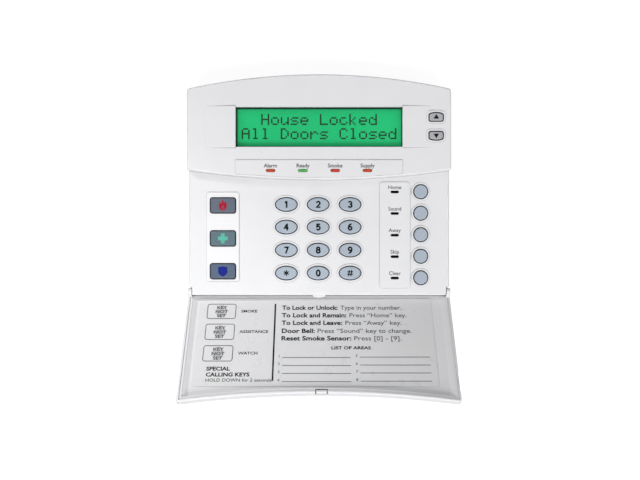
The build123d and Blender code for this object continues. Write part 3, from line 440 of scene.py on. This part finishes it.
# ---- printing ----------------------------------------------------------------------------------------
class Print:
    """Thin raised ink: shapes drawn in mm on one plane and joined into one mesh."""

    def __init__(self, place):
        self.mesh = bmesh.new()
        self.place = place

    def polygon(self, points):
        low = [self.mesh.verts.new((x, y, 0.0)) for x, y in points]
        high = [self.mesh.verts.new((x, y, INK)) for x, y in points]
        self.mesh.faces.new(list(reversed(low)))
        self.mesh.faces.new(high)
        count = len(low)
        for i in range(count):
            j = (i + 1) % count
            self.mesh.faces.new((low[i], low[j], high[j], high[i]))

    def bar(self, x, y, width, height):
        """An upright rectangle round its middle."""
        self.polygon(
            [
                (x + side * width, y + level * height)
                for side, level in ((-0.5, -0.5), (0.5, -0.5), (0.5, 0.5), (-0.5, 0.5))
            ]
        )

    def stroke(self, points, width, closed=False):
        """A line of even width through the points, with mitred corners."""
        count = len(points)
        left, right = [], []
        for i, (x, y) in enumerate(points):
            before = points[i - 1] if closed or i > 0 else points[i]
            after = points[(i + 1) % count] if closed or i < count - 1 else points[i]
            arrive = Vector((x - before[0], y - before[1]))
            leave = Vector((after[0] - x, after[1] - y))
            arrive = arrive.normalized() if arrive.length > 1e-9 else leave.normalized()
            leave = leave.normalized() if leave.length > 1e-9 else arrive
            across = Vector((-arrive.y - leave.y, arrive.x + leave.x)).normalized()
            reach = width / 2 / max(0.55, across.dot(Vector((-arrive.y, arrive.x))))
            left.append((x + across.x * reach, y + across.y * reach))
            right.append((x - across.x * reach, y - across.y * reach))
        if not closed:
            self.polygon(right + list(reversed(left)))
            return
        for i in range(count):
            j = (i + 1) % count
            self.polygon([right[i], right[j], left[j], left[i]])

    def outline(self, x0, y0, x1, y1, radius, width):
        """A rounded rectangle drawn as a line."""
        outer, inner = [], []
        steps = 5
        for cx, cy, start in (
            (x1 - radius, y1 - radius, 0.0),
            (x0 + radius, y1 - radius, 0.5),
            (x0 + radius, y0 + radius, 1.0),
            (x1 - radius, y0 + radius, 1.5),
        ):
            for i in range(steps + 1):
                angle = (start + 0.5 * i / steps) * math.pi
                for ring, r in ((outer, radius), (inner, radius - width)):
                    ring.append((cx + r * math.cos(angle), cy + r * math.sin(angle)))
        count = len(outer)
        levels = []
        for ring in (outer, inner):
            levels.append([self.mesh.verts.new((x, y, 0.0)) for x, y in ring])
            levels.append([self.mesh.verts.new((x, y, INK)) for x, y in ring])
        outer_low, outer_high, inner_low, inner_high = levels
        for i in range(count):
            j = (i + 1) % count
            self.mesh.faces.new((outer_low[i], outer_low[j], outer_high[j], outer_high[i]))
            self.mesh.faces.new((inner_low[j], inner_low[i], inner_high[i], inner_high[j]))
            self.mesh.faces.new((outer_high[i], outer_high[j], inner_high[j], inner_high[i]))
            self.mesh.faces.new((inner_low[i], inner_low[j], outer_low[j], outer_low[i]))

    def text(self, words, x, y, size, bold=0.0, align="LEFT", stretch=1.0, draw=True):
        """Words in the built-in typeface, their baseline at y. bold thickens the strokes, in mm.

        Returns the width of the words."""
        curve = bpy.data.curves.new("words", "FONT")
        curve.body = words
        curve.size = size
        curve.align_x = align
        curve.extrude = INK / 2
        curve.offset = bold
        curve.resolution_u = 3
        holder = bpy.data.objects.new("words", curve)
        bpy.context.scene.collection.objects.link(holder)
        bpy.context.view_layer.update()
        graph = bpy.context.evaluated_depsgraph_get()
        mesh = bpy.data.meshes.new_from_object(holder.evaluated_get(graph))
        mesh.transform(Matrix.Translation((x, y, INK / 2)) @ Matrix.Diagonal((stretch, 1, 1, 1)))
        across = [v.co.x for v in mesh.vertices]
        if draw:
            self.mesh.from_mesh(mesh)
        bpy.data.objects.remove(holder)
        bpy.data.curves.remove(curve)
        bpy.data.meshes.remove(mesh)
        return max(across) - min(across)

    def finish(self, name, material, body, slot):
        bmesh.ops.remove_doubles(self.mesh, verts=self.mesh.verts, dist=1e-5)
        bmesh.ops.recalc_face_normals(self.mesh, faces=self.mesh.faces)
        mesh = bpy.data.meshes.new(name)
        self.mesh.to_mesh(mesh)
        self.mesh.free()
        scale = Matrix.Diagonal((MM, MM, MM, 1))
        mesh.transform(self.place @ scale)
        mesh.materials.append(material)
        piece = bpy.data.objects.new(name, mesh)
        bpy.context.scene.collection.objects.link(piece)
        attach(piece, body)


def arc(x, y, width, height, start, end, steps=14):
    """Points on an ellipse's arc, its angles in degrees."""
    points = []
    for i in range(steps + 1):
        angle = math.radians(start + (end - start) * i / steps)
        points.append((x + width * math.cos(angle), y + height * math.sin(angle)))
    return points


def ring(x, y, width, height):
    return arc(x, y, width, height, 0, 345, 23)


# digits and signs on the number keys: strokes drawn round (0, 0), closed ones marked True
DIGIT_STROKE = 1.0
STAR_ARM = 1.75
SIX = [
    (ring(0, -0.72, 1.0, 0.98), True),
    (arc(0.42, -0.72, 1.42, 2.42, 72, 176), False),
]
SIGNS = {
    "0": [(ring(0, 0, 1.02, 1.72), True)],
    "1": [([(0.2, 2.1), (0.2, -2.12)], False), ([(-0.9, 0.95), (-0.3, 1.3), (0.2, 1.95)], False)],
    "2": [(arc(0, 0.72, 1.0, 1.0, 172, -38) + [(-0.95, -1.68), (1.32, -1.68)], False)],
    "3": [
        (arc(-0.05, 0.86, 0.92, 0.86, 162, -92), False),
        (arc(-0.05, -0.78, 1.05, 0.93, 92, -162), False),
    ],
    "4": [([(0.5, -2.12), (0.5, 2.1)], False), ([(0.5, 1.9), (-1.1, -0.62), (1.35, -0.62)], False)],
    "5": [([(1.15, 1.68), (-0.72, 1.68), (-0.92, 0.02)] + arc(0, -0.6, 1.05, 1.1, 138, -152), False)],
    "6": SIX,
    "7": [([(-1.2, 1.68), (1.0, 1.68), (-0.35, -2.12)], False)],
    "8": [(ring(0, 0.86, 0.86, 0.86), True), (ring(0, -0.8, 1.04, 0.94), True)],
    "9": [([(-px, -py) for px, py in points], closed) for points, closed in SIX],
    "star": [
        ([(-STAR_ARM * math.cos(turn), -STAR_ARM * math.sin(turn)),
          (STAR_ARM * math.cos(turn), STAR_ARM * math.sin(turn))], False)
        for turn in (math.radians(90), math.radians(30), math.radians(150))
    ],
    "hash": [
        ([(-0.95, -1.9), (-0.45, 1.9)], False),
        ([(0.45, -1.9), (0.95, 1.9)], False),
        ([(-1.75, 0.72), (1.85, 0.72)], False),
        ([(-1.85, -0.72), (1.75, -0.72)], False),
    ],
}
SIGN_STROKES = {"star": 0.72, "hash": 0.64}
for key in NUMBER_KEYS:
    x, z = middle_of(key)
    sign = key[4:]
    mark = Print(front_frame(front_of(key), x, z))
    for points, closed in SIGNS[sign]:
        mark.stroke(points, SIGN_STROKES.get(sign, DIGIT_STROKE), closed)
    mark.finish("print_" + key, ink_black, key + "_body", "key_rubber")

# triangles on the scroll keys
TRIANGLE_HALF, TRIANGLE_BASE, TRIANGLE_TIP = 1.7, 1.2, 1.6
for key, sense in (("key_up", 1), ("key_down", -1)):
    x, z = middle_of(key)
    mark = Print(front_frame(front_of(key), x, z))
    mark.polygon(
        [
            (-TRIANGLE_HALF * sense, -TRIANGLE_BASE * sense),
            (TRIANGLE_HALF * sense, -TRIANGLE_BASE * sense),
            (0, TRIANGLE_TIP * sense),
        ]
    )
    mark.finish("print_" + key, ink_black, key + "_body", "scroll_rubber")

# flame, cross and shield on the emergency keys
FLAME = [
    (0.0, 3.6), (0.55, 2.3), (0.75, 1.1), (1.15, 1.9), (1.75, 2.5), (2.2, 1.3), (2.45, 0.0), (2.3, -1.4),
    (1.6, -2.6), (0.6, -3.3), (0.95, -2.1), (0.75, -1.0), (0.1, 0.1), (-0.55, -0.9), (-0.9, -2.1),
    (-0.55, -3.3), (-1.6, -2.6), (-2.3, -1.4), (-2.45, 0.0), (-2.1, 1.3), (-1.7, 2.2), (-1.15, 1.3),
    (-0.9, 0.5), (-0.6, 1.9), (-0.45, 2.9),
]
FLAME_CORE = [(0.1, -0.5), (0.55, -1.4), (0.65, -2.3), (0.3, -3.2), (-0.3, -3.2), (-0.6, -2.3), (-0.4, -1.4)]
SHIELD = [
    (0, 3.2), (0.9, 2.7), (2.1, 2.9), (3.0, 2.1), (2.7, 1.0), (3.0, -0.3), (2.3, -1.8), (1.1, -2.7),
    (0, -3.3), (-1.1, -2.7), (-2.3, -1.8), (-3.0, -0.3), (-2.7, 1.0), (-3.0, 2.1), (-2.1, 2.9),
    (-0.9, 2.7),
]
CROSS_ARM, CROSS_HALF = 3.0, 1.15
CROSS = [
    (CROSS_HALF, CROSS_ARM), (CROSS_HALF, CROSS_HALF), (CROSS_ARM, CROSS_HALF), (CROSS_ARM, -CROSS_HALF),
    (CROSS_HALF, -CROSS_HALF), (CROSS_HALF, -CROSS_ARM), (-CROSS_HALF, -CROSS_ARM),
    (-CROSS_HALF, -CROSS_HALF), (-CROSS_ARM, -CROSS_HALF), (-CROSS_ARM, CROSS_HALF),
    (-CROSS_HALF, CROSS_HALF), (-CROSS_HALF, CROSS_ARM),
]
for key, outlines, colour, slot in (
    ("key_fire", (FLAME, FLAME_CORE), ink_red, "key_fire_rubber"),
    ("key_medical", (CROSS,), ink_teal, "key_medical_rubber"),
    ("key_guard", (SHIELD,), ink_blue, "key_guard_rubber"),
):
    x, z = middle_of(key)
    mark = Print(front_frame(front_of(key), x, z))
    for points in outlines:
        mark.polygon(list(reversed(points)))
    mark.finish("print_" + key, colour, key + "_body", slot)

# captions by the lights
CAPTION_SIZE = 3.3
STATUS_LIGHTS = ["status_light_1", "status_light_2", "status_light_3", "status_light_4"]
STATUS_RISE, FUNCTION_RISE = 1.9, 1.6  # baselines above the middles of the lights
captions = Print(front_frame(HOOD + RAISED))
for node, word in zip(STATUS_LIGHTS, ["Alarm", "Ready", "Smoke", "Supply"]):
    x, z = middle_of(node)
    captions.text(word, x, z + STATUS_RISE, CAPTION_SIZE, bold=0.06, align="CENTER")
captions.finish("print_status", ink_dark, "housing", "case_plastic")
low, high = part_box("function_lights")
light_x = (low.x + high.x) / 2 / MM
captions = Print(front_frame(FACE + RAISED))
for key, word in zip(ROUND_KEYS, ["Home", "Sound", "Away", "Skip", "Clear"]):
    baseline = middle_of(key)[1] + FUNCTION_RISE
    captions.text(word, light_x, baseline, CAPTION_SIZE, bold=0.03, align="CENTER")
captions.finish("print_functions", ink_dark, "housing", "case_plastic")

# display characters, each 5 columns by 7 lines of cells
GLYPHS = {
    "H": "10001 10001 10001 11111 10001 10001 10001",
    "L": "10000 10000 10000 10000 10000 10000 11111",
    "A": "01110 10001 10001 11111 10001 10001 10001",
    "D": "11100 10010 10001 10001 10001 10010 11100",
    "C": "01110 10001 10000 10000 10000 10001 01110",
    "o": "00000 00000 01110 10001 10001 10001 01110",
    "u": "00000 00000 10001 10001 10001 10011 01101",
    "s": "00000 00000 01111 10000 01110 00001 11110",
    "e": "00000 00000 01110 10001 11111 10000 01110",
    "c": "00000 00000 01110 10000 10000 10001 01110",
    "k": "10000 10000 10010 10100 11000 10100 10010",
    "d": "00001 00001 01101 10011 10001 10001 01111",
    "l": "01100 00100 00100 00100 00100 00100 01110",
    "r": "00000 00000 10110 11001 10000 10000 10000",
}
DOT_PITCH_X, DOT_PITCH_Z = 1.01, 0.98
DOT_FILL = 0.98  # share of its pitch that a cell covers
ROW_CHARACTERS = 16
CHARACTER_PITCH = 6 * DOT_PITCH_X
ROW_PITCH = 8.8
FIRST_ROW_TOP = 8.6  # above the middle of the display
ROWS = [(2, "House Locked"), (0, "All Doors Closed")]
display_x, display_z = middle_of("display_glass")
cells = Print(front_frame(front_of("display_glass"), display_x, display_z))
left = -(ROW_CHARACTERS * CHARACTER_PITCH - DOT_PITCH_X) / 2
for row, (indent, words) in enumerate(ROWS):
    for place, letter in enumerate(words):
        if letter == " ":
            continue
        for line, bits in enumerate(GLYPHS[letter].split()):
            for column, bit in enumerate(bits):
                if bit == "1":
                    cells.bar(
                        left + (indent + place) * CHARACTER_PITCH + (column + 0.5) * DOT_PITCH_X,
                        FIRST_ROW_TOP - row * ROW_PITCH - (line + 0.5) * DOT_PITCH_Z,
                        DOT_PITCH_X * DOT_FILL,
                        DOT_PITCH_Z * DOT_FILL,
                    )
cells.finish("display_characters", dot_green, "housing", "display_green")

# dark border round the display's field, printed on the back of the clear window; its unequal widths,
# # widest at the top and narrowest at the right, are a painted shadow of the recess walls
VIEW_SIZE = (102.4, 24.5)
# widths in mm: partly a dark border, partly painted shadow of the recess walls (top and left widest)
BORDER_SHADOW_WIDTHS = {"top": 1.0, "left": 0.85, "bottom": 0.8, "right": 0.45}
BORDER_OUT = 3.0  # how far the border runs on behind the case
half_width, half_height = VIEW_SIZE[0] / 2, VIEW_SIZE[1] / 2
border = Print(front_frame(-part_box("display_window")[1].y / MM - INK, display_x, display_z))
inner = (
    -half_width + BORDER_SHADOW_WIDTHS["left"],
    half_width - BORDER_SHADOW_WIDTHS["right"],
    -half_height + BORDER_SHADOW_WIDTHS["bottom"],
    half_height - BORDER_SHADOW_WIDTHS["top"],
)
outer = (
    -half_width - BORDER_OUT,
    half_width + BORDER_OUT,
    -half_height - BORDER_OUT,
    half_height + BORDER_OUT,
)
for x0, x1, y0, y1 in (
    (outer[0], inner[0], outer[2], outer[3]),
    (inner[1], outer[1], outer[2], outer[3]),
    (inner[0], inner[1], outer[2], inner[2]),
    (inner[0], inner[1], inner[3], outer[3]),
):
    border.polygon([(x0, y0), (x1, y0), (x1, y1), (x0, y1)])
border.finish("display_border_and_shadow", border_and_shadow, "housing", "display_green")

# instruction card: dark ink, lighter ink and grey blots, placed by x and the distance from the hinge
PRINT_OUT = CARD_FACE - 0.03  # the printing lies over the blots
BLOT_OUT = CARD_FACE - 0.005
KEY_BOXES = [(6.1, 17.2), (20.8, 32.2), (36.1, 47.1)]
BOX_X = (-68.9, -51.1)
BOX_CORNER, BOX_LINE = 1.6, 0.42
BLOT_HALVES = (3.4, 4.6)
BOX_WORD_RISE, BOX_WORD_STEP, BOX_WORD_SIZE = 1.9, 3.1, 3.0
SIDE_WORD_X, SIDE_WORD_DROP, SIDE_WORD_SIZE = -48.0, 0.8, 2.7
dark = Print(door_frame(PRINT_OUT))
light = Print(door_frame(PRINT_OUT))
blots = Print(door_frame(BLOT_OUT))
for (near, far), side_word in zip(KEY_BOXES, ("SMOKE", "ASSISTANCE", "WATCH")):
    light.outline(BOX_X[0], -far, BOX_X[1], -near, BOX_CORNER, BOX_LINE)
    middle = (near + far) / 2
    centre_x = (BOX_X[0] + BOX_X[1]) / 2
    blots.polygon(arc(centre_x, -middle, *BLOT_HALVES, 0, 340, 17))
    for line, word in enumerate(("KEY", "NOT", "SET")):
        baseline = -middle + BOX_WORD_RISE - line * BOX_WORD_STEP
        dark.text(word, centre_x, baseline, BOX_WORD_SIZE, bold=0.03, align="CENTER", stretch=1.2)
    dark.text(side_word, SIDE_WORD_X, -middle - SIDE_WORD_DROP, SIDE_WORD_SIZE, bold=0.04, stretch=1.15)
HEADING_X, HEADING_SIZE = -66.0, 3.5
dark.text("SPECIAL", HEADING_X, -53.2, HEADING_SIZE, bold=0.1, stretch=1.1)
dark.text("CALLING KEYS", HEADING_X, -57.1, HEADING_SIZE, bold=0.1, stretch=1.1)
light.text("HOLD DOWN for 2 seconds", HEADING_X, -60.6, 3.0, bold=0.02, stretch=1.05)
DIVIDER_X, DIVIDER_MIDDLE, DIVIDER_SIZE = -27.0, -33.1, (0.95, 54.0)
dark.bar(DIVIDER_X, DIVIDER_MIDDLE, *DIVIDER_SIZE)

# instruction lines: distance from the hinge, bold words, plain words and where the line ends in x
LINES = [
    (10.4, "To Lock or Unlock:", "Type in your number.", 50.7),
    (16.0, "To Lock and Remain:", "Press “Home” key.", 53.4),
    (21.5, "To Lock and Leave:", "Press “Away” key.", 50.0),
    (27.3, "Door Bell:", "Press “Sound” key to change.", 55.7),
    (32.6, "Reset Smoke Sensor:", "Press [0] - [9].", 49.3),
]
LINE_START = -22.8
WORD_GAP = 1.6
LINE_SIZE = 4.3
LEAD_BOLD, REST_BOLD = 0.11, 0.02
for down, lead, rest, end in LINES:
    lead_width = dark.text(lead, 0, 0, LINE_SIZE, bold=LEAD_BOLD, draw=False)
    rest_width = light.text(rest, 0, 0, LINE_SIZE, bold=REST_BOLD, draw=False)
    stretch = (end - LINE_START - WORD_GAP) / (lead_width + rest_width)
    dark.text(lead, LINE_START, -down, LINE_SIZE, bold=LEAD_BOLD, stretch=stretch)
    rest_start = LINE_START + lead_width * stretch + WORD_GAP
    light.text(rest, rest_start, -down, LINE_SIZE, bold=REST_BOLD, stretch=stretch)

# two columns of numbered lines to write on
dark.text("LIST OF AREAS", 19.1, -38.8, 2.9, bold=0.07, align="CENTER", stretch=1.25)
AREA_ROWS = (44.5, 49.9, 55.2, 60.6)
RULE_WIDTH = 0.36
NUMBER_SIZE = 2.6
for row, down in enumerate(AREA_ROWS):
    light.bar(-1.4, -down, 40.4, RULE_WIDTH)
    light.bar(44.9, -down + 0.3, 41.4, RULE_WIDTH)
    light.text(str(row + 1), -24.2, -down + 0.2, NUMBER_SIZE)
    light.text(str(row + len(AREA_ROWS) + 1), 21.6, -down + 0.4, NUMBER_SIZE)
blots.finish("card_blots", ink_blot, "door_body", "card")
dark.finish("card_print_dark", ink_black, "door_body", "card")
light.finish("card_print_light", ink_grey, "door_body", "card")


# ---- surroundings ------------------------------------------------------------------------------------
def panel(name, corners, material):
    """A flat stage piece from its four corners."""
    mesh = bpy.data.meshes.new(name)
    mesh.from_pydata(corners, [], [(0, 1, 2, 3)])
    mesh.materials.append(material)
    piece = bpy.data.objects.new(name, mesh)
    bpy.context.scene.collection.objects.link(piece)
    return piece


# the wall is mostly self-lit, and shows only from in front, so that the back of the panel can be seen too
WALL_GLOW = 0.86
wall_material, wall_tree, wall_shader = new_material("wall_pale")
wall_shader.inputs["Base Color"].default_value = (0.22, 0.22, 0.22, 1)
wall_shader.inputs["Roughness"].default_value = 0.9
wall_shader.inputs["Emission Color"].default_value = (1.0, 1.0, 1.0, 1)
wall_shader.inputs["Emission Strength"].default_value = WALL_GLOW
facing = wall_tree.nodes.new("ShaderNodeNewGeometry")
clear = wall_tree.nodes.new("ShaderNodeBsdfTransparent")
chooser = wall_tree.nodes.new("ShaderNodeMixShader")
wall_tree.links.new(facing.outputs["Backfacing"], chooser.inputs[0])
wall_tree.links.new(wall_shader.outputs[0], chooser.inputs[1])
wall_tree.links.new(clear.outputs[0], chooser.inputs[2])
wall_tree.links.new(chooser.outputs[0], wall_tree.nodes["Material Output"].inputs["Surface"])
floor_material, _, floor_shader = new_material("floor_pale")
floor_shader.inputs["Base Color"].default_value = (0.85, 0.85, 0.85, 1)
floor_shader.inputs["Roughness"].default_value = 0.8
WALL_GAP = 0.0015  # behind the back plate
FLOOR_Z = -1.2
REACH = 2.0  # how far the wall and the floor run
wall = panel(
    "wall",
    [
        (-REACH, WALL_GAP, FLOOR_Z),
        (REACH, WALL_GAP, FLOOR_Z),
        (REACH, WALL_GAP, REACH),
        (-REACH, WALL_GAP, REACH),
    ],
    wall_material,
)
wall.visible_diffuse = False
wall.visible_glossy = False
wall.visible_transmission = False
wall.visible_shadow = False
panel(
    "floor",
    [(-REACH, -REACH, FLOOR_Z), (REACH, -REACH, FLOOR_Z), (REACH, REACH, FLOOR_Z), (-REACH, REACH, FLOOR_Z)],
    floor_material,
)

world = bpy.data.worlds.new("studio")
bpy.context.scene.world = world
world.use_nodes = True
background = world.node_tree.nodes["Background"]
background.inputs["Color"].default_value = (1.0, 1.0, 1.0, 1)
background.inputs["Strength"].default_value = 0.30


def place_light(name, data, place, target):
    light_object = bpy.data.objects.new(name, data)
    bpy.context.scene.collection.objects.link(light_object)
    light_object.location = place
    light_object.rotation_euler = (Vector(target) - Vector(place)).to_track_quat("-Z", "Y").to_euler()


def lamp(name, place, size, energy):
    """A soft rectangular light aimed at the panel."""
    data = bpy.data.lights.new(name, "AREA")
    data.shape = "RECTANGLE"
    data.size, data.size_y = size
    data.energy = energy
    place_light(name, data, place, PANEL_MIDDLE)


def spot(name, place, target, cone, radius, energy):
    """A soft-edged spot; cone in degrees."""
    data = bpy.data.lights.new(name, "SPOT")
    data.spot_size = math.radians(cone)
    data.spot_blend = 1.0
    data.shadow_soft_size = radius
    data.energy = energy
    place_light(name, data, place, target)


PANEL_MIDDLE = (0, 0, -0.03)
lamp("front_light", (0.0, -1.1, -0.75), (1.0, 0.5), 13.4)
lamp("right_light", (0.9, -0.9, -0.5), (0.5, 0.5), 1.8)
lamp("top_light", (-0.5, -0.7, 0.6), (0.4, 0.4), 2.3)
DOOR_LEFT_END = (-0.11, -0.045, -0.09)
spot("side_spot", (-0.45, -0.35, 0.42), DOOR_LEFT_END, cone=24, radius=0.04, energy=9.0)
bpy.context.scene.view_settings.view_transform = "Standard"

# ---- camera ------------------------------------------------------------------------------------------
camera_data = bpy.data.cameras.new("camera")
camera_data.sensor_width = 36.0
camera_data.lens = 46.4
camera = bpy.data.objects.new("camera", camera_data)
bpy.context.scene.collection.objects.link(camera)
camera.location = (0.0006, -0.5314, -0.0338)
camera.rotation_euler = (math.radians(90), 0, 0)
bpy.context.scene.camera = camera

bpy.context.view_layer.update()
